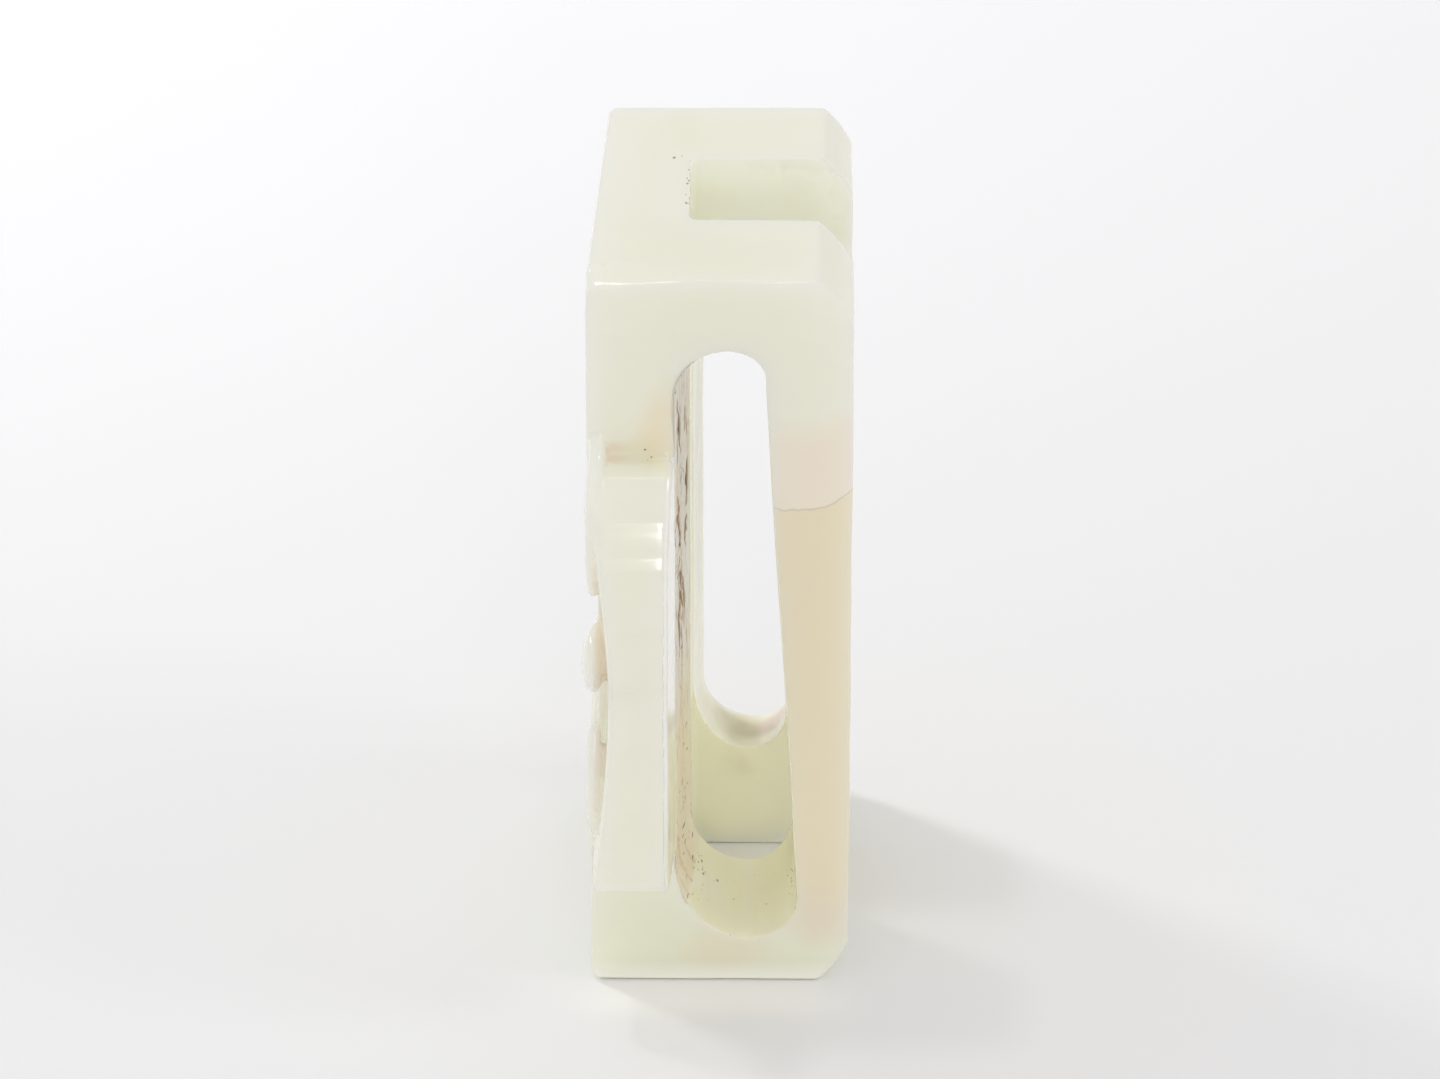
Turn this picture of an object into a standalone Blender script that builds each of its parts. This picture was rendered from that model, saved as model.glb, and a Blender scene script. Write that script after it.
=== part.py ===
"""A belt slide carved from one pale jade pebble.

A flat plaque stands on one of its short edges. Two walls rise from its back, each with a tall slot
that a belt passes through, and a gap lies open between them. A lobed tongue juts from the plaque's
near end. The front of plaque and tongue carries one cloud head in low relief.

X runs from the carved front to the outer faces of the walls, Y from the tongue to the far end, and
Z is up. The origin is the middle of the underside of the whole piece.
"""

from math import cos, pi, sin

import bmesh
import bpy
from mathutils import Vector

MM = 0.001

# Plaque and walls
HEIGHT = 52.0 * MM
PLAQUE = 5.8 * MM
WALL_RISE = 10.8 * MM
NEAR_WALL = 8.1 * MM
GAP = 7.5 * MM
FAR_WALL = 6.8 * MM
LEAN = 1.1 * MM
GAP_ROOT = 6.45 * MM
GAP_CORNER = 0.6 * MM

# Worn and cut-back edges
OUTER_TOP_RUN = 2.35 * MM
OUTER_TOP_RUN_FAR = 1.75 * MM
OUTER_TOP_DROP = 3.3 * MM
OUTER_TOP_DROP_FAR = 2.35 * MM
OUTER_FOOT_RUN = 1.9 * MM
OUTER_FOOT_RISE = 2.9 * MM
FRONT_CORNER = 0.6 * MM
FRONT_FOOT_RISE = 1.2 * MM
FAR_EDGE = 0.3 * MM
FAR_EDGE_RUN = 0.6 * MM
BROW_RUN = 0.5 * MM
BROW_DROP = 3.5 * MM
EDGE_WEAR = 0.2 * MM
CUT_FULLNESS = 0.22

# Belt slots
NEAR_SLOT_BITE = 0.15 * MM
NEAR_SLOT_HEAD = 4.9 * MM
NEAR_SLOT_FOOT = 3.45 * MM
NEAR_SLOT_FOOT_REAR = 4.15 * MM
NEAR_SLOT_WIDTH_TOP = 5.4 * MM
NEAR_SLOT_WIDTH_FOOT = 7.6 * MM
NEAR_SLOT_WIDTH_FOOT_REAR = 6.6 * MM
NEAR_SLOT_ROUNDS = (3.2 * MM, 1.9 * MM, 2.9 * MM, 5.8 * MM)
NEAR_SLOT_ROUNDS_REAR = (3.2 * MM, 1.9 * MM, 3.5 * MM, 4.5 * MM)
FAR_SLOT_STEP = 0.15 * MM
FAR_SLOT_LEDGE = 0.3 * MM
FAR_SLOT_HEAD = 5.5 * MM
FAR_SLOT_FOOT = 7.7 * MM
FAR_SLOT_FOOT_REAR = 5.8 * MM
FAR_SLOT_WIDTH_TOP = 5.2 * MM
FAR_SLOT_WIDTH_FOOT = 5.8 * MM
FAR_SLOT_ROUNDS = (3.0 * MM, 2.0 * MM, 2.5 * MM, 5.0 * MM)
FAR_SLOT_ROUNDS_REAR = (3.0 * MM, 2.0 * MM, 2.5 * MM, 3.2 * MM)
SLOT_KEEL_SHARE = 0.58

# Tongue
TONGUE_FOOT = 10.1 * MM
TONGUE_HEAD = 12.2 * MM
TONGUE_REACH = 6.0 * MM
TONGUE_TOP_REACH = 1.5 * MM
TONGUE_TOP_ROUND = 9.0 * MM
TONGUE_TOP_FULLNESS = 0.75
TONGUE_FOOT_REACH = 4.6 * MM
TONGUE_FOOT_ROUND = 3.5 * MM
TONGUE_FOOT_FULLNESS = 0.5
TONGUE_FRONT_RIM = 0.25 * MM
TONGUE_FRONT_HOLLOW = 1.1 * MM
TONGUE_HOLLOW_POWER = 1.2
TONGUE_BACK_STEP = 0.2 * MM
TONGUE_EDGE = 0.6 * MM
TONGUE_END_BEVEL = 0.36 * MM
TONGUE_END_INSET = 0.42 * MM
LOBE_DIP = 0.22 * MM
LOBE_SHARES = (0.11, 0.23, 0.125, 0.17, 0.365)

# Front: a plain border round a sunk field that opens onto the tongue, and the relief in it
BORDER = 1.7 * MM
FIELD_DEPTH = 0.65 * MM
RIDGE_HALF_WIDTH = 1.2 * MM
RIDGE_HALF_HEIGHT = 0.9 * MM
RELIEF_RISE = 0.4 * MM
TIP_PROUD = 0.42 * MM
TIP_RUN = 3.3 * MM
PLAIN_PROUD = 0.06 * MM
BUD_HALF_LENGTH = 3.6 * MM
BUD_HALF_WIDTH = 2.2 * MM
BUD_SETBACK = 0.8 * MM
BUD_SKEW = 0.8
BUD_FULLNESS = 0.8
BUD_TIP = 0.1

# Bands of the relief. Places are shares of half the tongue's height, from its root and the middle
CURL_START_SIZE = 0.5
CURL_SWELL = 1.6
CURL_TAPER = 0.3
BAND_ENDS = ((0.45, 0.8), (0.75, 0.4))
HEAD_CURL_CENTRE = (0.2, 0.62)
HEAD_CURL_RADII = (0.46, 0.08)
HEAD_CURL_START = 0.6
HEAD_CURL_TURNS = 1.55
SIDE_CURL_CENTRE = (0.4, 0.9)
SIDE_CURL_RADII = (0.28, 0.07)
SIDE_CURL_START = 0.02
SIDE_CURL_TURNS = 1.3
ROOT_START = (0.1, 0.12)
ROOT_BEND = (0.04, 0.5)
ROOT_SIZES = (0.9, 0.6)
STEM_START = (0.2, 0.06)
STEM_BEND = (0.7, 0.02)
STEM_END = (0.6, 0.28)
STEM_SIZES = (0.95, 0.5)
LEAF_START = (0.3, 1.26)
LEAF_BEND = (0.62, 1.28)
LEAF_SETBACK = 0.3
LEAF_RIM_GAP = 0.14
LEAF_SIZES = (0.5, 0.85)

# How finely curves are cut into facets, and how close two points count as one
ARC_STEPS = 12
CORNER_STEPS = 4
CUT_STEPS = 5
FAR_EDGE_STEPS = 2
TONGUE_STATIONS = 44
RIDGE_SIDES = 8
BUD_SIDES = 16
BUD_STATIONS = 12
HEAD_CURL_STEPS = 40
SIDE_CURL_STEPS = 28
ROOT_STEPS = 8
SWEEP_STEPS = 12
MERGE = 0.001 * MM
SHARP_ANGLE = 0.6

# Jade: pale celadon, softly polished
JADE_COLOUR = (0.76, 0.77, 0.63, 1.0)
JADE_ROUGHNESS = 0.22

WIDTH = PLAQUE + WALL_RISE
LENGTH = NEAR_WALL + GAP + FAR_WALL
TONGUE_HEIGHT = HEIGHT - TONGUE_HEAD - TONGUE_FOOT
MIDDLE = HEIGHT / 2 + RELIEF_RISE
PAST = 1.0 * MM


def front_x(y):
    """Front of the plaque, which leans back towards the far end."""
    return LEAN * y / LENGTH


def back_x(y):
    """Back of the plaque, parallel to its front."""
    return PLAQUE + front_x(y)


def closed_mesh(bm, name):
    """Turn a bmesh into an object with outward faces."""
    bmesh.ops.recalc_face_normals(bm, faces=bm.faces)
    mesh = bpy.data.meshes.new(name)
    bm.to_mesh(mesh)
    bm.free()
    obj = bpy.data.objects.new(name, mesh)
    bpy.context.scene.collection.objects.link(obj)
    return obj


def loft(rings, name):
    """Skin a list of equal rings of points and cap both ends."""
    bm = bmesh.new()
    rows = [[bm.verts.new(point) for point in ring] for ring in rings]
    for row, after in zip(rows, rows[1:]):
        for i in range(len(row)):
            j = (i + 1) % len(row)
            bm.faces.new((row[i], row[j], after[j], after[i]))
    bm.faces.new(reversed(rows[0]))
    bm.faces.new(rows[-1])
    return closed_mesh(bm, name)


def rounded_corner(corner, before, after, steps=ARC_STEPS):
    """Points of a soft corner between two edge points, as a quadratic curve."""
    points = []
    for i in range(steps + 1):
        t = i / steps
        x = (1 - t) ** 2 * before[0] + 2 * t * (1 - t) * corner[0] + t ** 2 * after[0]
        z = (1 - t) ** 2 * before[1] + 2 * t * (1 - t) * corner[1] + t ** 2 * after[1]
        points.append((x, z))
    return points


def cut_corner(level, upright):
    """A corner cut back from its level edge to its upright edge and worn slightly round."""
    corner = (upright[0], level[1])
    middle = ((level[0] + upright[0]) / 2, (level[1] + upright[1]) / 2)
    pull = [m + (c - m) * CUT_FULLNESS for m, c in zip(middle, corner)]
    return rounded_corner(pull, level, upright, CUT_STEPS)


def blank_section(y, wear, top):
    """Outline across the piece at one place along the belt, from the front foot round."""
    left = front_x(y) + wear
    right = WIDTH - wear
    run = mix(OUTER_TOP_RUN, OUTER_TOP_RUN_FAR, y / LENGTH)
    drop = mix(OUTER_TOP_DROP, OUTER_TOP_DROP_FAR, y / LENGTH)
    outer_foot = cut_corner((right - OUTER_FOOT_RUN, wear), (right, wear + OUTER_FOOT_RISE))
    outer_top = cut_corner((right - run, top), (right, top - drop))
    foot_start = (left, wear + FRONT_FOOT_RISE)
    foot = rounded_corner((left, wear), foot_start, (left + FRONT_CORNER, wear), CORNER_STEPS)
    head_start = (left + FRONT_CORNER, top)
    head = rounded_corner((left, top), head_start, (left, top - FRONT_CORNER), CORNER_STEPS)
    outline = foot + outer_foot + list(reversed(outer_top)) + head
    return [(x, y, z) for x, z in outline]


def blank():
    """The block before any opening is cut, with its long edges cut back and its brow sloped."""
    brow_share = EDGE_WEAR / BROW_RUN
    sections = [
        blank_section(0.0, EDGE_WEAR, HEIGHT - BROW_DROP),
        blank_section(EDGE_WEAR, 0.0, HEIGHT - BROW_DROP * (1 - brow_share)),
        blank_section(BROW_RUN, 0.0, HEIGHT),
    ]
    far_edge = rounded_corner(
        (LENGTH, 0.0), (LENGTH - FAR_EDGE_RUN, 0.0), (LENGTH, FAR_EDGE), FAR_EDGE_STEPS
    )
    sections += [blank_section(y, wear, HEIGHT - wear) for y, wear in far_edge]
    return loft(sections, "jade_belt_slide")


def gap_cutter():
    """The space between the walls, open above, below and behind, with two soft inner corners."""
    near = NEAR_WALL
    far = NEAR_WALL + GAP
    root = GAP_ROOT
    soft = GAP_ROOT + GAP_CORNER
    plan = rounded_corner((root, near), (soft, near), (root, near + GAP_CORNER), CORNER_STEPS)
    plan += rounded_corner((root, far), (root, far - GAP_CORNER), (soft, far), CORNER_STEPS)
    plan += [(WIDTH + PAST, far), (WIDTH + PAST, near)]
    rings = [[(x, y, z) for x, y in plan] for z in (-PAST, HEIGHT + PAST)]
    return loft(rings, "gap_cutter")


def field_cutter():
    """The sunk field on the front, inside a plain border that is open towards the tongue."""
    low = TONGUE_FOOT + BORDER
    high = HEIGHT - TONGUE_HEAD - BORDER
    rings = []
    for depth, inset in ((-PAST, 0.0), (0.0, 0.0), (FIELD_DEPTH, FIELD_DEPTH)):
        near = BORDER + inset
        far = LENGTH - BORDER - inset
        foot = BORDER + inset
        head = HEIGHT - BORDER - inset
        outline = [(near, foot), (far, foot), (far, head), (near, head)]
        outline += [(near, high - inset), (-PAST, high - inset)]
        outline += [(-PAST, low + inset), (near, low + inset)]
        rings.append([(front_x(y) + depth, y, z) for y, z in outline])
    return loft(rings, "field_cutter")


def round_end(start, end, steps=ARC_STEPS):
    """Quarter of an ellipse that leaves start upright and meets end level."""
    points = []
    for i in range(steps + 1):
        angle = pi / 2 * i / steps
        x = end[0] + (start[0] - end[0]) * cos(angle)
        z = start[1] + (end[1] - start[1]) * sin(angle)
        points.append((x, z))
    return points


def slot_section(y, left, top_width, foot_width, foot, head, rounds):
    """Outline of a slot: straight sides, wider at the foot, with a round crown and keel."""
    top = HEIGHT - head
    top_left, top_right, foot_right, foot_left = rounds
    crown = left + top_width * SLOT_KEEL_SHARE
    keel = left + foot_width * SLOT_KEEL_SHARE
    right_top = left + top_width
    right_foot = left + foot_width
    outline = round_end((left, top - top_left), (crown, top))
    outline += list(reversed(round_end((right_top, top - top_right), (crown, top))))[1:]
    outline += round_end((right_foot, foot + foot_right), (keel, foot))
    outline += list(reversed(round_end((left, foot + foot_left), (keel, foot))))[1:]
    return [(x, y, z) for x, z in outline]


def mix(a, b, share):
    """A value, or each value of a tuple, part of the way from a to b."""
    if isinstance(a, tuple):
        return tuple(mix(one, other, share) for one, other in zip(a, b))
    return a + (b - a) * share


def slot_cutter(near_y, far_y, near, far, name):
    """A slot through one wall, whose outline changes evenly from one face to the other."""
    rings = []
    for y in (near_y - PAST, near_y, far_y, far_y + PAST):
        section = mix(near, far, (y - near_y) / (far_y - near_y))
        rings.append(slot_section(y, *section))
    return loft(rings, name)


def near_slot_cutter():
    """Slot of the near wall: its front side lies in line with the plaque's back."""
    near = (
        back_x(0) - NEAR_SLOT_BITE,
        NEAR_SLOT_WIDTH_TOP,
        NEAR_SLOT_WIDTH_FOOT,
        NEAR_SLOT_FOOT,
        NEAR_SLOT_HEAD,
        NEAR_SLOT_ROUNDS,
    )
    rear = (
        GAP_ROOT - NEAR_SLOT_BITE,
        NEAR_SLOT_WIDTH_TOP,
        NEAR_SLOT_WIDTH_FOOT_REAR,
        NEAR_SLOT_FOOT_REAR,
        NEAR_SLOT_HEAD,
        NEAR_SLOT_ROUNDS_REAR,
    )
    return slot_cutter(0.0, NEAR_WALL, near, rear, "near_slot_cutter")


def far_slot_cutter():
    """Slot of the far wall, a little shorter and set a step further out."""
    start = NEAR_WALL + GAP
    near = (
        GAP_ROOT + FAR_SLOT_STEP,
        FAR_SLOT_WIDTH_TOP,
        FAR_SLOT_WIDTH_FOOT,
        FAR_SLOT_FOOT,
        FAR_SLOT_HEAD,
        FAR_SLOT_ROUNDS,
    )
    rear = (
        back_x(LENGTH) + FAR_SLOT_LEDGE,
        FAR_SLOT_WIDTH_TOP,
        FAR_SLOT_WIDTH_FOOT,
        FAR_SLOT_FOOT_REAR,
        FAR_SLOT_HEAD,
        FAR_SLOT_ROUNDS_REAR,
    )
    return slot_cutter(start, LENGTH, near, rear, "far_slot_cutter")


def lobe_dip(share):
    """Depth of the soft creases between the lobes, at a share of the tongue's height from its top."""
    start = 0.0
    for lobe in LOBE_SHARES:
        if share <= start + lobe:
            return LOBE_DIP * (1 - sin(pi * (share - start) / lobe)) ** 2
        start += lobe
    return LOBE_DIP


def end_round(distance, round_length, power):
    """0 at an end of the tongue and 1 past its rounding."""
    left = max(1 - distance / round_length, 0.0)
    return (1 - left * left) ** power


def tongue_reach(share):
    """How far the tongue juts out at a share of its height from the top."""
    down = share * TONGUE_HEIGHT
    up = TONGUE_HEIGHT - down
    reach = TONGUE_TOP_REACH + (TONGUE_REACH - TONGUE_TOP_REACH) * end_round(
        down, TONGUE_TOP_ROUND, TONGUE_TOP_FULLNESS
    )
    fullness = end_round(up, TONGUE_FOOT_ROUND, TONGUE_FOOT_FULLNESS)
    return reach - (TONGUE_REACH - TONGUE_FOOT_REACH) * (1 - fullness) - lobe_dip(share)


def tongue_front(share):
    """Front of the tongue, hollowed back between a proud upper and lower end."""
    return TONGUE_FRONT_RIM + TONGUE_FRONT_HOLLOW * sin(pi * share) ** TONGUE_HOLLOW_POWER


def tongue_section(share, inset):
    """Outline of the tongue seen from above, at a share of its height from the top."""
    reach = tongue_reach(share) - inset
    z = HEIGHT - TONGUE_HEAD - TONGUE_HEIGHT * share
    left = tongue_front(share) + inset
    edge = TONGUE_EDGE
    tip_back = back_x(-reach) - TONGUE_BACK_STEP - inset
    root_back = back_x(PAST) - TONGUE_BACK_STEP - inset
    inner = edge - reach
    plan = [(left, PAST)]
    plan += rounded_corner((left, -reach), (left, inner), (left + edge, -reach), CORNER_STEPS)
    tip = (tip_back - edge, -reach)
    plan += rounded_corner((tip_back, -reach), tip, (tip_back, inner), CORNER_STEPS)
    plan += [(root_back, PAST)]
    return [(x, y, z) for x, y in plan]


def tongue():
    """The lobed tongue: a thick tab with a soft rim, sunk a little way into the near end."""
    bevel = TONGUE_END_BEVEL / TONGUE_HEIGHT
    rings = [tongue_section(0.0, TONGUE_END_INSET)]
    for i in range(TONGUE_STATIONS):
        share = mix(bevel, 1 - bevel, i / (TONGUE_STATIONS - 1))
        rings.append(tongue_section(share, 0.0))
    rings.append(tongue_section(1.0, TONGUE_END_INSET))
    return loft(rings, "tongue")


def proud_at(y):
    """How far the relief stands out past the plaque's front: most towards the tongue's tip."""
    share = min(max(-y / TIP_RUN, 0.0), 1.0)
    return mix(PLAIN_PROUD, TIP_PROUD, share * share * (3 - 2 * share))


def relief_centre(y):
    """Depth of the middle line of the relief's bands and bud."""
    return front_x(max(y, 0.0)) - proud_at(y) + RIDGE_HALF_HEIGHT


def ridge(path, name):
    """A carved band with a round back, along points (y, z, share of full size)."""
    path = rounded_ends(path)
    rings = []
    for i, (y, z, size) in enumerate(path):
        y0, z0 = path[max(i - 1, 0)][:2]
        y1, z1 = path[min(i + 1, len(path) - 1)][:2]
        along = Vector((y1 - y0, z1 - z0)).normalized()
        half = RIDGE_HALF_WIDTH * size
        deep = RIDGE_HALF_HEIGHT * size
        ring = []
        for k in range(RIDGE_SIDES):
            angle = 2 * pi * k / RIDGE_SIDES
            offset = half * cos(angle)
            x = relief_centre(y) - deep * sin(angle)
            ring.append((x, y - along.y * offset, z + along.x * offset))
        rings.append(ring)
    return loft(rings, name)


def rounded_ends(path):
    """The same band with small rings added beyond each end, so that it ends round."""
    start = [beyond(path[0], path[1], distance, shrink) for distance, shrink in BAND_ENDS]
    end = [beyond(path[-1], path[-2], distance, shrink) for distance, shrink in BAND_ENDS]
    return list(reversed(start)) + path + end


def beyond(end, inner, distance, shrink):
    """A point past the end of a band, in line with it, as a share of the band's half width."""
    along = Vector((end[0] - inner[0], end[1] - inner[1])).normalized()
    step = along * RIDGE_HALF_WIDTH * end[2] * distance
    return (end[0] + step.x, end[1] + step.y, end[2] * shrink)


def curl(centre, radii, start_turn, turns, steps, way):
    """Points of a band that winds in from one radius to another, thin where it starts."""
    path = []
    for i in range(steps + 1):
        t = i / steps
        angle = 2 * pi * (start_turn - turns * t)
        radius = mix(radii[0], radii[1], t)
        size = min(CURL_START_SIZE + CURL_SWELL * t, 1.0) * (1 - CURL_TAPER * t)
        y = centre[0] + radius * cos(angle)
        z = centre[1] + way * radius * sin(angle)
        path.append((y, z, size))
    return path


def sweep(start, bend, end, sizes, steps):
    """Points of a band along one smooth bend, its size changing evenly from first to last."""
    points = rounded_corner(bend, start, end, steps)
    return [(y, z, mix(sizes[0], sizes[1], i / steps)) for i, (y, z) in enumerate(points)]


def bud():
    """The pointed petal in the middle of the cloud head."""
    rings = []
    start = BUD_SETBACK - TONGUE_REACH
    for i in range(BUD_STATIONS + 1):
        t = i / BUD_STATIONS
        y = start + 2 * BUD_HALF_LENGTH * t
        girth = max(sin(pi * t ** BUD_SKEW), BUD_TIP) ** BUD_FULLNESS
        ring = []
        for k in range(BUD_SIDES):
            angle = 2 * pi * k / BUD_SIDES
            x = relief_centre(y) - RIDGE_HALF_HEIGHT * girth * sin(angle)
            ring.append((x, y, MIDDLE + BUD_HALF_WIDTH * girth * cos(angle)))
        rings.append(ring)
    return loft(rings, "bud")


def relief():
    """The cloud head and its tails, the lower half mirroring the upper one."""
    head = TONGUE_HEIGHT / 2
    far = LENGTH - BORDER
    rim = HEIGHT / 2 - BORDER
    head_radii = [share * head for share in HEAD_CURL_RADII]
    side_radii = [share * head for share in SIDE_CURL_RADII]
    shapes = [bud()]
    for half, way in (("upper", 1), ("lower", -1)):

        def from_root(place):
            return (place[0] * head, MIDDLE + way * place[1] * head)

        def from_far(place):
            return (far - place[0] * head, MIDDLE + way * place[1] * head)

        centre = from_root(HEAD_CURL_CENTRE)
        main = curl(centre, head_radii, HEAD_CURL_START, HEAD_CURL_TURNS, HEAD_CURL_STEPS, way)
        shapes.append(ridge(main, half + "_head_curl"))
        centre = from_far(SIDE_CURL_CENTRE)
        side = curl(centre, side_radii, SIDE_CURL_START, SIDE_CURL_TURNS, SIDE_CURL_STEPS, -way)
        meet = side[0][:2]
        root = sweep(from_far(ROOT_START), from_far(ROOT_BEND), meet, ROOT_SIZES, ROOT_STEPS)
        shapes.append(ridge(root[:-1] + side, half + "_side_curl"))
        stem_start = from_far(STEM_START)
        stem_end = from_root(STEM_END)
        stem = sweep(stem_start, from_root(STEM_BEND), stem_end, STEM_SIZES, SWEEP_STEPS)
        shapes.append(ridge(stem, half + "_stem"))
        leaf_end = (far - LEAF_SETBACK * head, MIDDLE + way * (rim - LEAF_RIM_GAP * head))
        leaf_start = from_root(LEAF_START)
        leaf = sweep(leaf_start, from_root(LEAF_BEND), leaf_end, LEAF_SIZES, SWEEP_STEPS)
        shapes.append(ridge(leaf, half + "_leaf"))
    return shapes


def combine(body, other, operation):
    """Apply one exact boolean, drop the second shape and clean what the cut left."""
    modifier = body.modifiers.new(operation.lower(), "BOOLEAN")
    modifier.object = other
    modifier.operation = operation
    modifier.solver = "EXACT"
    modifier.use_self = operation == "UNION"
    depsgraph = bpy.context.evaluated_depsgraph_get()
    result = bpy.data.meshes.new_from_object(body.evaluated_get(depsgraph))
    body.modifiers.clear()
    old = body.data
    body.data = result
    bpy.data.meshes.remove(old)
    bpy.data.objects.remove(other, do_unlink=True)
    bm = bmesh.new()
    bm.from_mesh(body.data)
    bmesh.ops.remove_doubles(bm, verts=bm.verts, dist=MERGE)
    bmesh.ops.dissolve_degenerate(bm, edges=bm.edges, dist=MERGE)
    bm.to_mesh(body.data)
    bm.free()


def triangulate(body):
    """Make every face of the finished mesh a triangle and drop what that makes too thin."""
    bm = bmesh.new()
    bm.from_mesh(body.data)
    bmesh.ops.triangulate(bm, faces=bm.faces)
    bmesh.ops.dissolve_degenerate(bm, edges=bm.edges, dist=MERGE)
    bmesh.ops.triangulate(bm, faces=bm.faces)
    bm.to_mesh(body.data)
    bm.free()


def stand_on_origin(body):
    """Move the mesh so that the middle of its underside is the origin."""
    xs, ys, zs = zip(*(vertex.co for vertex in body.data.vertices))
    shift = Vector(((min(xs) + max(xs)) / 2, (min(ys) + max(ys)) / 2, min(zs)))
    for vertex in body.data.vertices:
        vertex.co -= shift


def jade():
    """Pale jade: not a metal, with a soft polish."""
    material = bpy.data.materials.new("pale_jade")
    material.use_nodes = True
    surface = material.node_tree.nodes["Principled BSDF"]
    surface.inputs["Base Color"].default_value = JADE_COLOUR
    surface.inputs["Roughness"].default_value = JADE_ROUGHNESS
    surface.inputs["Metallic"].default_value = 0.0
    return material


def build():
    for obj in list(bpy.data.objects):
        bpy.data.objects.remove(obj, do_unlink=True)
    body = blank()
    for cutter in (gap_cutter(), near_slot_cutter(), far_slot_cutter(), field_cutter()):
        combine(body, cutter, "DIFFERENCE")
    for added in [tongue()] + relief():
        combine(body, added, "UNION")
    triangulate(body)
    stand_on_origin(body)
    body.data.materials.clear()
    body.data.materials.append(jade())
    body.data.shade_smooth()
    body.data.set_sharp_from_angle(angle=SHARP_ANGLE)


build()
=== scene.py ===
"""Looks of a belt slide carved from one pale jade pebble.

Lengths are millimetres in the part's own directions: X runs from the carved front to the outer
faces of the walls, Y from the near wall's face to the far end, and Z up from the table. SHIFT takes
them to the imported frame.
"""

from math import cos, pi, radians, sin, sqrt

import bpy
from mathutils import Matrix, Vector, noise
from mathutils.bvhtree import BVHTree


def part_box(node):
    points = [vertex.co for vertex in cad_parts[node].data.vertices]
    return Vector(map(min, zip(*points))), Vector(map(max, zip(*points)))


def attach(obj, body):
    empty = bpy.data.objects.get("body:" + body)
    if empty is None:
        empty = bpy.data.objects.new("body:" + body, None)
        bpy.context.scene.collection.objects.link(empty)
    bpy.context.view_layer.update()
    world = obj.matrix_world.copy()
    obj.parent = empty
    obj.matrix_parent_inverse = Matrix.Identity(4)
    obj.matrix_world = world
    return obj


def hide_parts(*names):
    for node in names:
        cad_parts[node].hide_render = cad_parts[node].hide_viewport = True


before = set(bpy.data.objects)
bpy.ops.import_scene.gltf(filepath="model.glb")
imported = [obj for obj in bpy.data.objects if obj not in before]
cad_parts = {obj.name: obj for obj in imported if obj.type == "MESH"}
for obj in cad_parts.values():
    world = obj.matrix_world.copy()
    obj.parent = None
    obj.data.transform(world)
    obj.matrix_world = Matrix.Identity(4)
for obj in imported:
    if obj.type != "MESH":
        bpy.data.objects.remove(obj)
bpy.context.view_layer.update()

MM = 0.001
WIDTH = 16.6
LENGTH = 22.4
SHIFT = Vector((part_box("jade_belt_slide")[1].x / MM - WIDTH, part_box("jade_belt_slide")[1].y / MM - LENGTH, 0))

# Mesh fineness
VOXEL = 0.13
POLISH_TURNS = 8
MOST_TRIANGLES = 190000

# Hand-ground unevenness
WAVE_LENGTH = 7.0
WAVE_DEPTH = 0.12

# The rough bed that the near slot leaves on the plaque's back
BED_X = (5.2, 7.2)
BED_Y = (-0.3, 9.3)
BED_Z = (6.0, 46.5)
BED_FACING = 0.6
PIT_DEPTH = 0.3
# Each pit: where it starts and ends (Y, Z), and its half width
PITS = (
    ((3.8, 40.6), (4.5, 37.5), 0.9),
    ((7.9, 39.0), (7.9, 36.2), 0.9),
    ((5.1, 37.4), (5.7, 33.0), 0.45),
    ((9.0, 34.4), (8.4, 30.3), 1.1),
    ((2.3, 33.9), (4.9, 30.0), 0.9),
    ((7.6, 29.6), (8.2, 27.4), 0.7),
    ((5.6, 28.2), (4.1, 25.6), 1.3),
    ((4.1, 26.0), (6.1, 20.6), 0.4),
    ((8.2, 23.6), (8.9, 18.9), 0.4),
)

# The tongue's side towards the slot leans in by this much at the tongue's end
LEAN = 0.12
LEAN_X = (4.6, 5.6)
LEAN_Y = (-6.2, -0.1)
LEAN_FACING = 0.3
# LEAN_Z: heights over which the side's painted reflection fades in
LEAN_Z = (15.0, 20.0)

# The near top edge is worn down towards the carved front
BROW_LENGTH = 5.6
BROW_REACH = 2.2
BROW_FOOT = 49.5
BROW_DROP = 1.0
BROW_TURNS = 45

# How far the stone closes round a point: rays from it, and how far they look
SHELTER_RAYS = 36
SHELTER_LIFT = 0.35
SHELTER_REACH = 14.0
CREVICE_REACH = 1.5
GOLDEN_TURN = pi * (3.0 - sqrt(5.0))

# Camera, from the photograph's fitted view
CAMERA_PLACE = (11.219, -418.341, 299.935)
CAMERA_TARGET = (8.338, 0.0, 33.682)
FOCAL_PIXELS = 8000.0
FRAME_PIXELS = 1440.0
SENSOR = 36.0


def place(point):
    """A point in the part's own millimetres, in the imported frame's metres."""
    return (Vector(point) + SHIFT) * MM


def only(obj):
    """Select one object alone and make it active."""
    bpy.ops.object.select_all(action="DESELECT")
    obj.select_set(True)
    bpy.context.view_layer.objects.active = obj


def apply_modifier(obj, kind, **settings):
    """Add one modifier, set it up and apply it."""
    only(obj)
    modifier = obj.modifiers.new(kind.title(), kind)
    for name, value in settings.items():
        setattr(modifier, name, value)
    bpy.ops.object.modifier_apply(modifier=modifier.name)


# One function adds every shader node
def add_node(tree, kind, links=None, values=None, **settings):
    """Add a node, set its properties and its unlinked inputs, and link its other inputs."""
    node = tree.nodes.new(kind)
    for name, value in settings.items():
        setattr(node, name, value)
    for socket, value in (values or {}).items():
        node.inputs[socket].default_value = value
    for socket, source in (links or {}).items():
        tree.links.new(source, node.inputs[socket])
    return node


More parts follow.
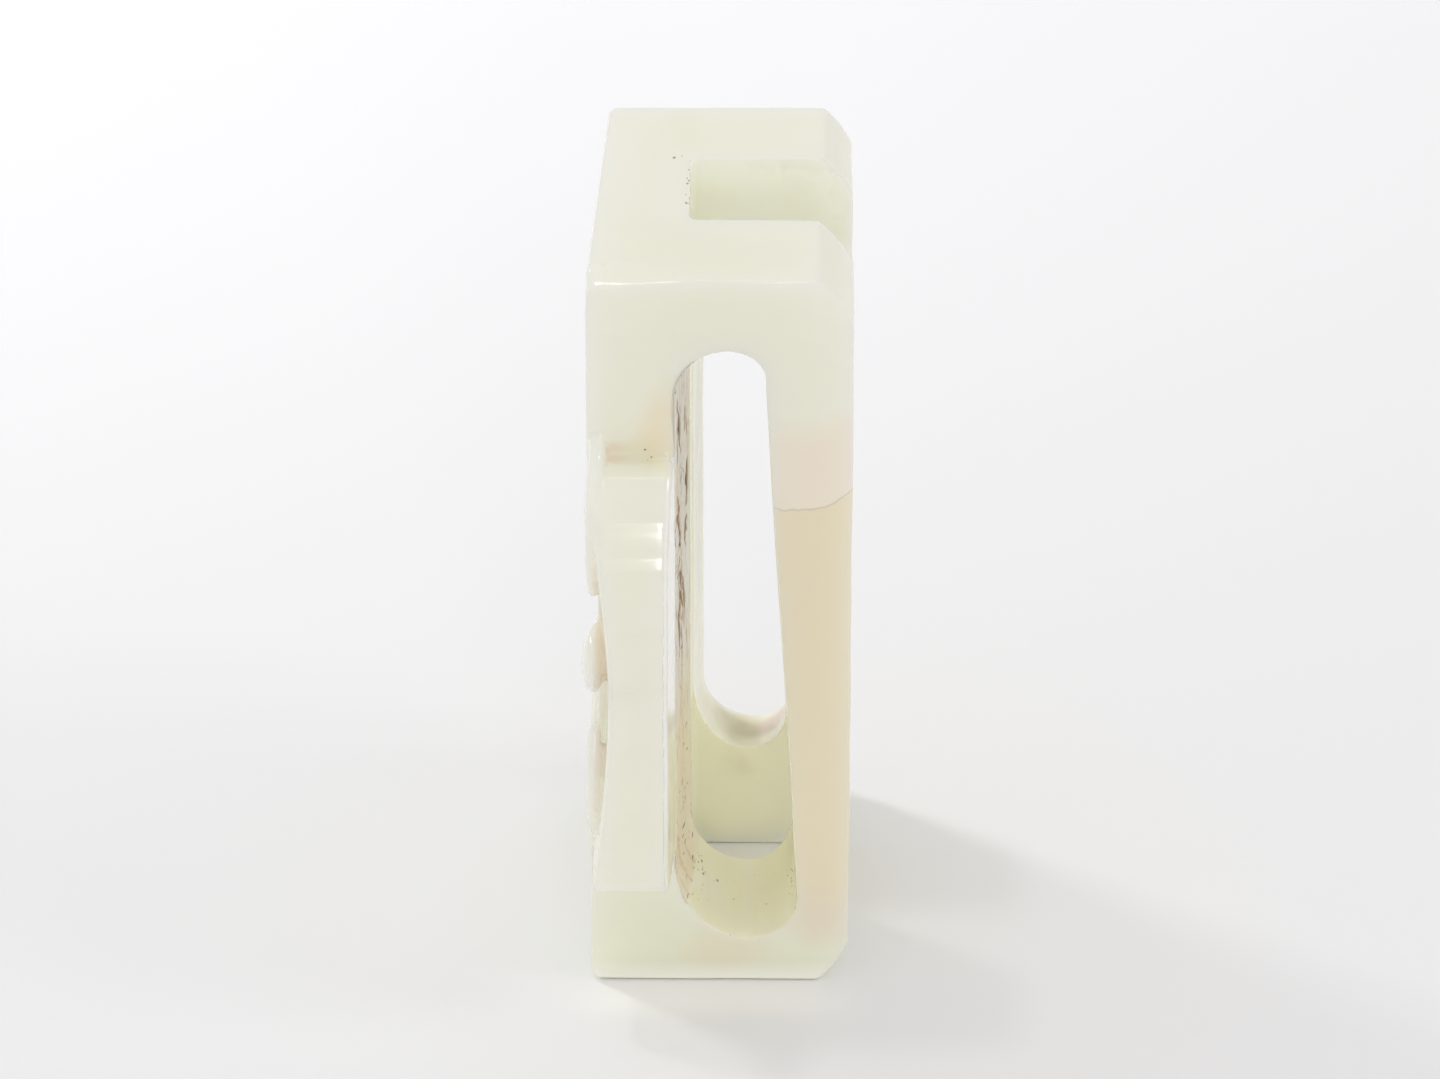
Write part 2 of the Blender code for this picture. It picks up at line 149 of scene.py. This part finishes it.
def linear(hex_colour):
    """An sRGB hex colour as linear light, with full alpha."""
    channels = [int(hex_colour[i:i + 2], 16) / 255 for i in (1, 3, 5)]
    light = [c / 12.92 if c <= 0.04045 else ((c + 0.055) / 1.055) ** 2.4 for c in channels]
    return (*light, 1.0)


def pit_weight(y, z):
    """How deep a point of the bed lies in its nearest pit, from 0 to 1."""
    deepest = 0.0
    for start, end, half_width in PITS:
        run = Vector(end) - Vector(start)
        along = max(0.0, min(1.0, (Vector((y, z)) - Vector(start)).dot(run) / run.length_squared))
        width = half_width * (0.35 + 2.6 * along * (1.0 - along))
        away = (Vector((y, z)) - Vector(start) - run * along).length / width
        deepest = max(deepest, 1.0 - away ** 2)
    return deepest


def rough_bed(piece):
    """Sink long pits down the near slot's bed, and keep the bed and its pits as painted attributes."""
    mesh = piece.data
    bed = [0.0] * len(mesh.vertices)
    pits = [0.0] * len(mesh.vertices)
    sink = [0.0] * len(mesh.vertices)
    for vertex in mesh.vertices:
        spot = vertex.co / MM - SHIFT
        inside = all(low < value < high for value, (low, high) in zip(spot, (BED_X, BED_Y, BED_Z)))
        if inside and vertex.normal.x > BED_FACING:
            ridges = noise.fractal(Vector((spot.y / 0.7, spot.z / 3.5, 0.0)), 1.0, 2.0, 3)
            bed[vertex.index] = 1.0
            pits[vertex.index] = max(0.0, pit_weight(spot.y, spot.z) + 0.5 * ridges)
            sink[vertex.index] = max(0.0, min(1.0, max(pits[vertex.index], 0.35 + 0.5 * ridges)))
    sunk = piece.vertex_groups.new(name="sunk_pits")
    for index, weight in enumerate(sink):
        if weight > 0:
            sunk.add([index], weight, "REPLACE")
    apply_modifier(
        piece, "DISPLACE", vertex_group=sunk.name, direction="X", strength=-PIT_DEPTH * MM, mid_level=0.0
    )
    for name, values in (("bed", bed), ("pits", pits)):
        piece.data.attributes.new(name, "FLOAT", "POINT").data.foreach_set("value", values)


def lean_tongue_side(piece):
    """Lean the tongue's side towards the slot, so that its polish mirrors the bright opening, and keep where that
    side gets a painted reflection as an attribute.
    """
    leant = piece.vertex_groups.new(name="leant_side")
    bright = [0.0] * len(piece.data.vertices)
    for vertex in piece.data.vertices:
        spot = vertex.co / MM - SHIFT
        if LEAN_X[0] < spot.x < LEAN_X[1] and LEAN_Y[0] < spot.y < LEAN_Y[1] and vertex.normal.x > LEAN_FACING:
            leant.add([vertex.index], (LEAN_Y[1] - spot.y) / (LEAN_Y[1] - LEAN_Y[0]), "REPLACE")
            bright[vertex.index] = max(0.0, min(1.0, (spot.z - LEAN_Z[0]) / (LEAN_Z[1] - LEAN_Z[0])))
    apply_modifier(
        piece, "DISPLACE", vertex_group=leant.name, direction="X", strength=-LEAN * MM, mid_level=0.0
    )
    piece.data.attributes.new("painted_reflection_side", "FLOAT", "POINT").data.foreach_set("value", bright)


def wear_brow(piece):
    """Wear the near top edge round at its left half, where it slopes down to the carved front."""
    worn = piece.vertex_groups.new(name="worn_brow")
    soft = piece.vertex_groups.new(name="soft_brow")
    for vertex in piece.data.vertices:
        spot = vertex.co / MM - SHIFT
        across = max(0.0, 1.0 - spot.x / BROW_LENGTH)
        along = max(0.0, 1.0 - abs(spot.y) / BROW_REACH)
        low = max(0.0, min(1.0, (spot.z - BROW_FOOT) / BROW_REACH))
        if across * along * low > 0.0:
            worn.add([vertex.index], across * along * low, "REPLACE")
        if spot.x < BROW_LENGTH + 0.5 and along > 0.0 and low > 0.0:
            soft.add([vertex.index], min(1.0, 3.0 * along * low), "REPLACE")
    apply_modifier(
        piece, "DISPLACE", vertex_group=worn.name, direction="Z", strength=-BROW_DROP * MM, mid_level=0.0
    )
    apply_modifier(piece, "SMOOTH", vertex_group=soft.name, factor=0.5, iterations=BROW_TURNS)


def shelter(piece, solid):
    """How far the stone closes round each point, in all and near by, as painted attributes."""
    stone = BVHTree.FromPolygons(
        [v.co for v in solid.data.vertices], [face.vertices for face in solid.data.polygons]
    )
    rays = []
    for i in range(SHELTER_RAYS):
        height = 1.0 - (2 * i + 1) / SHELTER_RAYS
        round_way = sqrt(1.0 - height * height)
        rays.append(Vector((cos(GOLDEN_TURN * i) * round_way, sin(GOLDEN_TURN * i) * round_way, height)))
    deep = []
    crevice = []
    for vertex in piece.data.vertices:
        start = vertex.co + vertex.normal * SHELTER_LIFT * MM
        seen = closed = closed_near = 0.0
        for ray in rays:
            share = vertex.normal.dot(ray)
            if share > 0.0:
                seen += share
                distance = stone.ray_cast(start, ray, SHELTER_REACH * MM)[3]
                if distance is not None:
                    closed += share
                    closed_near += share * (distance < CREVICE_REACH * MM)
        deep.append(closed / seen)
        crevice.append(closed_near / seen)
    for name, values in (("deep", deep), ("crevice", crevice)):
        piece.data.attributes.new(name, "FLOAT", "POINT").data.foreach_set("value", values)


def carving():
    """The carved piece: the solid's form, its facets polished round, with hand-ground unevenness."""
    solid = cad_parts["jade_belt_slide"]
    only(solid)
    bpy.ops.object.duplicate()
    piece = bpy.context.active_object
    piece.name = "polished_jade_slide"
    piece.parent = None
    only(piece)
    bpy.ops.object.mode_set(mode="EDIT")
    bpy.ops.mesh.select_all(action="SELECT")
    bpy.ops.mesh.remove_doubles(threshold=0.001 * MM)
    bpy.ops.object.mode_set(mode="OBJECT")
    apply_modifier(piece, "REMESH", mode="VOXEL", voxel_size=VOXEL * MM, use_smooth_shade=True)
    apply_modifier(piece, "SMOOTH", factor=0.5, iterations=POLISH_TURNS)
    waves = bpy.data.textures.new("hand_ground_waves", "CLOUDS")
    waves.noise_scale = WAVE_LENGTH * MM
    waves.noise_depth = 1
    apply_modifier(
        piece, "DISPLACE", texture=waves, strength=WAVE_DEPTH * MM, mid_level=1.0, texture_coords="GLOBAL"
    )
    triangles = sum(len(face.vertices) - 2 for face in piece.data.polygons)
    apply_modifier(piece, "DECIMATE", ratio=min(1.0, MOST_TRIANGLES / triangles))
    shelter(piece, solid)
    wear_brow(piece)
    lean_tongue_side(piece)
    rough_bed(piece)
    only(piece)
    bpy.ops.object.shade_smooth()
    return piece


def oval(tree, spot, centre, radii, rim=0.5):
    """A mask that is 1 inside an oval patch of the stone and fades out at its rim."""
    near = add_node(
        tree, "ShaderNodeMapping", {"Vector": spot},
        {"Scale": [1 / r for r in radii], "Location": [-c / r for c, r in zip(centre, radii)]},
    )
    reach = add_node(tree, "ShaderNodeVectorMath", {0: near.outputs[0]}, operation="LENGTH")
    fade = add_node(
        tree, "ShaderNodeMapRange", {"Value": reach.outputs["Value"]}, {"From Min": 1.0, "From Max": 1.0 - rim},
        interpolation_type="SMOOTHSTEP",
    )
    return fade.outputs[0]


def tint(tree, colour, mask, hex_colour, strength):
    """Lay a colour over another where a mask says so, up to a strength."""
    share = add_node(tree, "ShaderNodeMath", {0: mask}, {1: strength}, operation="MULTIPLY")
    mixed = add_node(
        tree, "ShaderNodeMix", {"Factor": share.outputs[0], 6: colour}, {7: linear(hex_colour)}, data_type="RGBA"
    )
    return mixed.outputs[2]


# Stains that soak the stone: centre, radii, colour and strength
STAINS = (
    ((5.6, 0.0, 42.0), (3.0, 3.0, 4.2), "#F4E4C2", 0.6),
    ((4.4, -0.3, 40.4), (3.2, 2.0, 1.3), "#F1E2BE", 0.3),
    ((15.0, 0.0, 6.0), (3.6, 3.0, 4.4), "#EBDCC9", 0.7),
    ((9.0, 0.0, 2.4), (4.0, 2.0, 3.4), "#EADDBF", 0.5),
    ((11.4, 19.5, 6.2), (2.8, 3.6, 2.6), "#FBE6DC", 1.0),
)

# Darker olive and pink patches in the far slot: its sill, and its side on the plaque
FAR_SLOT_PATCHES = (
    ((9.3, 19.0, 6.4), (3.2, 4.2, 3.0), "#CFC69A", 0.8),
    ((11.9, 19.5, 6.8), (2.0, 3.4, 2.4), "#E6CDBE", 0.9),
    ((6.2, 19.5, 30.0), (3.0, 6.0, 26.0), "#DAD5B4", 0.9),
)

# Where dirt is caught: centre, radii, and the share of grains that are dark
DIRT = (
    ((6.5, 11.6, 51.6), (1.0, 3.6, 1.6), 1.5),
    ((5.6, 15.7, 52.0), (0.9, 0.7, 0.8), 0.7),
    ((4.3, -0.4, 40.0), (1.7, 1.4, 0.8), 1.0),
    ((7.3, 0.3, 46.9), (1.0, 1.6, 1.2), 0.8),
    ((12.9, 3.0, 9.0), (0.5, 5.0, 7.5), 0.8),
    ((9.5, 4.5, 4.6), (4.0, 3.5, 1.8), 0.25),
    ((8.2, 0.0, 3.6), (1.6, 0.8, 0.9), 0.5),
    ((6.6, 4.5, 10.0), (1.6, 6.0, 10.0), 1.3),
    ((6.2, 4.5, 44.0), (1.6, 6.0, 4.0), 1.2),
    ((5.6, 4.0, 30.0), (1.0, 6.5, 14.0), 0.35),
)

# The healed crack in the right-hand walls: its lowest point, how it wavers and curls up, and its half width
CRACK_X = 13.0
CRACK_Z = 35.4
CRACK_WAVER = 0.8
CRACK_CURL = 0.11
CRACK_WIDTH = 0.05


def jade():
    """Nephrite jade, hand polished: a soft waxy gloss over stone that lets light some way in."""
    material = bpy.data.materials.new("pale_nephrite")
    material.use_nodes = True
    tree = material.node_tree
    tree.nodes.clear()
    where = add_node(tree, "ShaderNodeTexCoord")
    own = add_node(
        tree, "ShaderNodeMapping", {"Vector": where.outputs["Object"]},
        {"Scale": (1 / MM, 1 / MM, 1 / MM), "Location": -SHIFT},
    ).outputs[0]
    axes = add_node(tree, "ShaderNodeSeparateXYZ", {"Vector": own})

    # Slow clouding between green-white and cream
    cloud = add_node(tree, "ShaderNodeTexNoise", {"Vector": own}, {"Scale": 0.09, "Detail": 3.0})
    body = add_node(
        tree, "ShaderNodeMix", {"Factor": cloud.outputs["Fac"]},
        {6: linear("#EEEFDB"), 7: linear("#F5F3E4")}, data_type="RGBA",
    ).outputs[2]
    sway = add_node(tree, "ShaderNodeTexNoise", {"Vector": own}, {"Scale": 0.3, "Detail": 3.0})
    spread = add_node(
        tree, "ShaderNodeVectorMath", {0: sway.outputs["Color"]}, {1: (3.0, 3.0, 3.0), 2: (-1.5, -1.5, -1.5)},
        operation="MULTIPLY_ADD",
    )
    drifted = add_node(tree, "ShaderNodeVectorMath", {0: own, 1: spread.outputs[0]}, operation="ADD").outputs[0]
    # The lowest part is painted darker and greener, fading in below Z 12
    low = add_node(
        tree, "ShaderNodeMapRange", {"Value": axes.outputs["Z"]}, {"From Min": 12.0, "From Max": 1.0},
        interpolation_type="SMOOTHSTEP",
    )
    body = tint(tree, body, low.outputs[0], "#E6E8CC", 0.6)
    for centre, radii, hex_colour, strength in STAINS:
        body = tint(tree, body, oval(tree, drifted, centre, radii, 0.8), hex_colour, strength)

    # Tan stone under the healed crack, a pinker band over it, and the crack's own thin line
    off_middle = add_node(tree, "ShaderNodeMath", {0: axes.outputs["X"]}, {1: CRACK_X}, operation="SUBTRACT")
    curl = add_node(
        tree, "ShaderNodeMath", {0: off_middle.outputs[0], 1: off_middle.outputs[0]}, operation="MULTIPLY"
    )
    uneven = add_node(tree, "ShaderNodeTexNoise", {"Vector": own}, {"Scale": 0.5, "Detail": 4.0})
    lowest_line = add_node(
        tree, "ShaderNodeMath", {0: uneven.outputs["Fac"]}, {1: CRACK_WAVER, 2: CRACK_Z}, operation="MULTIPLY_ADD"
    )
    crack = add_node(
        tree, "ShaderNodeMath", {0: curl.outputs[0], 2: lowest_line.outputs[0]}, {1: CRACK_CURL},
        operation="MULTIPLY_ADD",
    )
    over = add_node(tree, "ShaderNodeMath", {0: axes.outputs["Z"], 1: crack.outputs[0]}, operation="SUBTRACT")
    side = add_node(
        tree, "ShaderNodeMapRange", {"Value": axes.outputs["X"]}, {"From Min": 11.0, "From Max": 12.2},
        interpolation_type="SMOOTHSTEP",
    )
    tan_foot = add_node(
        tree, "ShaderNodeMapRange", {"Value": axes.outputs["Z"]}, {"From Min": 4.0, "From Max": 9.0},
        interpolation_type="SMOOTHSTEP",
    )
    tan_top = add_node(
        tree, "ShaderNodeMapRange", {"Value": over.outputs[0]}, {"From Min": 0.1, "From Max": -0.1}
    )
    pink_top = add_node(
        tree, "ShaderNodeMapRange", {"Value": over.outputs[0]}, {"From Min": 7.5, "From Max": 4.0},
        interpolation_type="SMOOTHSTEP",
    )
    pink_foot = add_node(
        tree, "ShaderNodeMapRange", {"Value": over.outputs[0]}, {"From Min": -0.1, "From Max": 0.1}
    )
    away = add_node(tree, "ShaderNodeMath", {0: over.outputs[0]}, operation="ABSOLUTE")
    line = add_node(
        tree, "ShaderNodeMapRange", {"Value": away.outputs[0]}, {"From Min": 2 * CRACK_WIDTH, "From Max": CRACK_WIDTH / 2}
    )
    zones = (
        (tan_top.outputs[0], tan_foot.outputs[0], "#EDE2C5", 0.95),
        (pink_top.outputs[0], pink_foot.outputs[0], "#F3E8D6", 0.95),
        (line.outputs[0], side.outputs[0], "#B39C76", 0.32),
    )
    for high, low, hex_colour, strength in zones:
        band = add_node(tree, "ShaderNodeMath", {0: high, 1: low}, operation="MULTIPLY")
        zone = add_node(tree, "ShaderNodeMath", {0: band.outputs[0], 1: side.outputs[0]}, operation="MULTIPLY")
        body = tint(tree, body, zone.outputs[0], hex_colour, strength)

    # Slots and gap: warm pale paint, partly the stone's own tone and partly painted glow
    deep = add_node(tree, "ShaderNodeAttribute", attribute_name="deep").outputs["Fac"]
    hollow = add_node(
        tree, "ShaderNodeMapRange", {"Value": deep}, {"From Min": 0.15, "From Max": 0.4},
        interpolation_type="SMOOTHSTEP",
    )
    below = add_node(
        tree, "ShaderNodeMapRange", {"Value": axes.outputs["Z"]}, {"From Min": 47.0, "From Max": 38.0},
        interpolation_type="SMOOTHSTEP",
    )
    behind = add_node(
        tree, "ShaderNodeMapRange", {"Value": axes.outputs["X"]}, {"From Min": 4.0, "From Max": 5.5}
    )
    cavity_glow = add_node(tree, "ShaderNodeMath", {0: hollow.outputs[0], 1: behind.outputs[0]}, operation="MULTIPLY")
    inside = add_node(
        tree, "ShaderNodeMath", {0: cavity_glow.outputs[0], 1: below.outputs[0]}, operation="MULTIPLY"
    ).outputs[0]
    # Painted glow: the hollows are painted near white, and pale yellow lower down
    body = tint(tree, body, cavity_glow.outputs[0], "#FFFFEA", 1.0)
    body = tint(tree, body, inside, "#FFFDE1", 1.0)
    for centre, radii, hex_colour, strength in FAR_SLOT_PATCHES:
        body = tint(tree, body, oval(tree, drifted, centre, radii, 0.8), hex_colour, strength)

    # Rough bed: near white, partly the crust's own colour and partly a painted reflection; brown in the pits
    bed = add_node(tree, "ShaderNodeAttribute", attribute_name="bed").outputs["Fac"]
    pits = add_node(tree, "ShaderNodeAttribute", attribute_name="pits").outputs["Fac"]
    # Painted reflection in part: the whole bed is first laid near white
    body = tint(tree, body, bed, "#FFFDFF", 1.0)
    patchy = add_node(tree, "ShaderNodeMapping", {"Vector": own}, {"Scale": (0.0, 0.35, 0.16)}).outputs[0]
    patches = add_node(tree, "ShaderNodeTexNoise", {"Vector": patchy}, {"Scale": 1.0, "Detail": 4.0})
    drawn = add_node(tree, "ShaderNodeMapping", {"Vector": own}, {"Scale": (0.0, 1.3, 0.17)}).outputs[0]
    scratches = add_node(tree, "ShaderNodeTexNoise", {"Vector": drawn}, {"Scale": 1.0, "Detail": 3.0})
    lowest = add_node(tree, "ShaderNodeMapRange", {"Value": axes.outputs["Z"]}, {"From Min": 23.0, "From Max": 16.0})
    layers = (
        (patches.outputs["Fac"], 0.5, 0.58, "#F3DCC4", 0.4),
        (scratches.outputs["Fac"], 0.57, 0.62, "#8A6436", 0.85),
        (pits, 0.25, 0.75, "#7A5218", 1.0),
        (lowest.outputs[0], 0.0, 1.0, "#FFF4DA", 0.9),
        (scratches.outputs["Fac"], 0.55, 0.63, "#DDA86C", 0.2),
    )
    for value, start, full, hex_colour, strength in layers:
        part = add_node(tree, "ShaderNodeMapRange", {"Value": value}, {"From Min": start, "From Max": full})
        on_bed = add_node(tree, "ShaderNodeMath", {0: part.outputs[0], 1: bed}, operation="MULTIPLY")
        body = tint(tree, body, on_bed.outputs[0], hex_colour, strength)

    # Warm dirt rubbed into the carved front's hollows
    crevice = add_node(tree, "ShaderNodeAttribute", attribute_name="crevice").outputs["Fac"]
    rubbed = add_node(tree, "ShaderNodeMapRange", {"Value": crevice}, {"From Min": 0.12, "From Max": 0.45})
    front = add_node(
        tree, "ShaderNodeMapRange", {"Value": axes.outputs["X"]}, {"From Min": 3.4, "From Max": 2.4}
    )
    in_relief = add_node(tree, "ShaderNodeMath", {0: rubbed.outputs[0], 1: front.outputs[0]}, operation="MULTIPLY")
    body = tint(tree, body, in_relief.outputs[0], "#F1DECD", 0.5)

    # Light that the stone passes down whitens its lowest edge
    edge = add_node(
        tree, "ShaderNodeMapRange", {"Value": axes.outputs["Z"]}, {"From Min": 1.6, "From Max": 0.3}
    ).outputs[0]
    body = tint(tree, body, edge, "#FFFFF0", 0.9)

    # Painted reflection: the tongue's side is painted near white where its polish mirrors the bright opening
    painted_reflection_side = add_node(tree, "ShaderNodeAttribute", attribute_name="painted_reflection_side").outputs["Fac"]
    body = tint(tree, body, painted_reflection_side, "#FCFBF2", 0.9)

    # Grains of dirt, few and fine on the polish, many and drawn out on the rough bed
    soiled = None
    for centre, radii, share in DIRT:
        patch = oval(tree, own, centre, radii, 1.0)
        here = add_node(tree, "ShaderNodeMath", {0: patch}, {1: share}, operation="MULTIPLY").outputs[0]
        if soiled is not None:
            here = add_node(tree, "ShaderNodeMath", {0: soiled, 1: here}, operation="MAXIMUM").outputs[0]
        soiled = here
    polished = add_node(tree, "ShaderNodeMath", {1: bed}, {0: 1.0}, operation="SUBTRACT").outputs[0]
    for ground, fine, stretch, hex_colour in ((polished, 3.8, 2.8, "#9A7644"), (bed, 3.4, 0.7, "#7A5C36")):
        drawn = add_node(tree, "ShaderNodeMapping", {"Vector": own}, {"Scale": (fine, stretch, fine)}).outputs[0]
        grains = add_node(tree, "ShaderNodeTexVoronoi", {"Vector": drawn}, {"Scale": 1.0})
        lots = add_node(tree, "ShaderNodeSeparateColor", {"Color": grains.outputs["Color"]})
        size = add_node(tree, "ShaderNodeMath", {0: lots.outputs[1]}, {1: 0.5}, operation="MULTIPLY").outputs[0]
        left = add_node(
            tree, "ShaderNodeMath", {0: size, 1: grains.outputs["Distance"]}, operation="SUBTRACT"
        ).outputs[0]
        dot = add_node(tree, "ShaderNodeMapRange", {"Value": left}, {"From Min": 0.0, "From Max": 0.1})
        spare = add_node(tree, "ShaderNodeMath", {0: soiled, 1: lots.outputs[0]}, operation="SUBTRACT").outputs[0]
        chosen = add_node(tree, "ShaderNodeMapRange", {"Value": spare}, {"From Min": 0.0, "From Max": 0.08})
        speck = add_node(tree, "ShaderNodeMath", {0: dot.outputs[0], 1: chosen.outputs[0]}, operation="MULTIPLY")
        on_side = add_node(tree, "ShaderNodeMath", {0: speck.outputs[0], 1: ground}, operation="MULTIPLY")
        body = tint(tree, body, on_side.outputs[0], hex_colour, 0.75)

    grain = add_node(tree, "ShaderNodeTexNoise", {"Vector": own}, {"Scale": 0.8, "Detail": 5.0})
    polish = add_node(
        tree, "ShaderNodeMapRange", {"Value": grain.outputs["Fac"]}, {"To Min": 0.06, "To Max": 0.14}
    )
    chalk = add_node(
        tree, "ShaderNodeMapRange", {"Value": pits}, {"From Min": 0.2, "From Max": 0.6, "To Min": 0.5, "To Max": 1.0}
    )
    roughness = add_node(
        tree, "ShaderNodeMix", {"Factor": bed, 2: polish.outputs[0], 3: chalk.outputs[0]}, data_type="FLOAT"
    )
    hidden = add_node(tree, "ShaderNodeMath", {0: inside, 1: edge}, operation="MAXIMUM")
    shallow = add_node(tree, "ShaderNodeMath", {0: bed, 1: hidden.outputs[0]}, operation="MAXIMUM")
    depth = add_node(
        tree, "ShaderNodeMapRange", {"Value": shallow.outputs[0]}, {"To Min": 0.6, "To Max": 0.1}
    )
    stone = add_node(
        tree, "ShaderNodeBsdfPrincipled",
        {"Base Color": body, "Roughness": roughness.outputs[0], "Subsurface Weight": depth.outputs[0]},
        {"IOR": 1.61, "Subsurface Radius": (1.0, 0.98, 0.9), "Subsurface Scale": 4.0 * MM},
    )
    add_node(tree, "ShaderNodeOutputMaterial", {"Surface": stone.outputs[0]})
    return material


def table():
    """A pale table under the piece, painted a little whiter towards the back left as painted light."""
    bpy.ops.object.select_all(action="DESELECT")
    bpy.ops.mesh.primitive_plane_add(size=4.0, location=(0, 0, 0))
    floor = bpy.context.active_object
    floor.name = "pale_table"
    material = bpy.data.materials.new("matt_white_board")
    material.use_nodes = True
    tree = material.node_tree
    surface = tree.nodes["Principled BSDF"]
    surface.inputs["Roughness"].default_value = 0.6
    where = add_node(tree, "ShaderNodeTexCoord")
    # Painted light: whiter towards the back left, a little greyer towards the front right
    lean = add_node(
        tree, "ShaderNodeVectorMath", {0: where.outputs["Object"]}, {1: (-2.0, 3.8, 0.0)}, operation="DOT_PRODUCT"
    )
    away = add_node(
        tree, "ShaderNodeMapRange", {"Value": lean.outputs["Value"]}, {"From Min": -0.12, "From Max": 0.62},
        interpolation_type="SMOOTHSTEP",
    )
    tone = add_node(
        tree, "ShaderNodeMix", {"Factor": away.outputs[0]}, {6: linear("#F5F5F4"), 7: linear("#FFFFFF")},
        data_type="RGBA",
    )
    tree.links.new(tone.outputs[2], surface.inputs["Base Color"])
    floor.data.materials.append(material)


def light(name, kind, start, target, strength, colour="#FFFFFF", **settings):
    """One light that shines from a point towards another."""
    bpy.ops.object.light_add(type=kind, location=place(start))
    lamp = bpy.context.active_object
    lamp.name = name
    lamp.rotation_euler = (Vector(target) - Vector(start)).to_track_quat("-Z", "Y").to_euler()
    lamp.data.energy = strength
    lamp.data.color = linear(colour)[:3]
    for key, value in settings.items():
        setattr(lamp.data, key, value)
    return lamp


def studio():
    """A white room, a key light high at the back left, and soft boxes at both sides."""
    world = bpy.data.worlds.new("white_room")
    world.use_nodes = True
    back = world.node_tree.nodes["Background"]
    back.inputs["Color"].default_value = linear("#FDFCFF")
    back.inputs["Strength"].default_value = 0.7
    bpy.context.scene.world = world
    centre = (8.0, 8.0, 26.0)
    key = (8.0 - 88.0, 8.0 + 56.0, 26.0 + 386.0)
    light("key", "SUN", key, centre, 0.17, angle=radians(4.0))
    light("front_box", "AREA", (60.0, -470.0, 190.0), centre, 0.18, shape="RECTANGLE", size=0.1, size_y=0.08)
    light("left_box", "AREA", (-300.0, -170.0, 120.0), centre, 0.02, shape="RECTANGLE", size=0.05, size_y=0.12)
    light("right_box", "AREA", (330.0, -60.0, 330.0), centre, 0.16, shape="RECTANGLE", size=0.12, size_y=0.12)
    light("top_strip", "AREA", (8.0, 68.0, 426.0), centre, 0.05, shape="RECTANGLE", size=0.16, size_y=0.025)
    glow = light(
        "foot_glow", "AREA", (7.5, -2.6, 2.2), (7.5, -0.2, 0.0), 0.00002, "#FFF6E0",
        shape="RECTANGLE", size=0.017, size_y=0.002,
    )
    glow.visible_camera = False
    light(
        "backdrop_lamp", "AREA", (-420.0, 330.0, 420.0), (-120.0, 190.0, 0.0), 0.12,
        shape="RECTANGLE", size=0.1, size_y=0.1, spread=radians(55),
    )


def camera():
    """The photograph's view: a long lens that looks down at the near end."""
    bpy.ops.object.camera_add(location=place(CAMERA_PLACE))
    eye = bpy.context.active_object
    eye.name = "view"
    eye.rotation_euler = (Vector(CAMERA_TARGET) - Vector(CAMERA_PLACE)).to_track_quat("-Z", "Y").to_euler()
    eye.data.sensor_width = SENSOR
    eye.data.lens = SENSOR * FOCAL_PIXELS / FRAME_PIXELS
    eye.data.clip_start = 0.01
    eye.data.clip_end = 10.0
    bpy.context.scene.camera = eye


piece = carving()
piece.data.materials.clear()
piece.data.materials.append(jade())
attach(piece, "root")
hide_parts("jade_belt_slide")
table()
studio()
camera()
bpy.context.scene.view_settings.view_transform = "Standard"
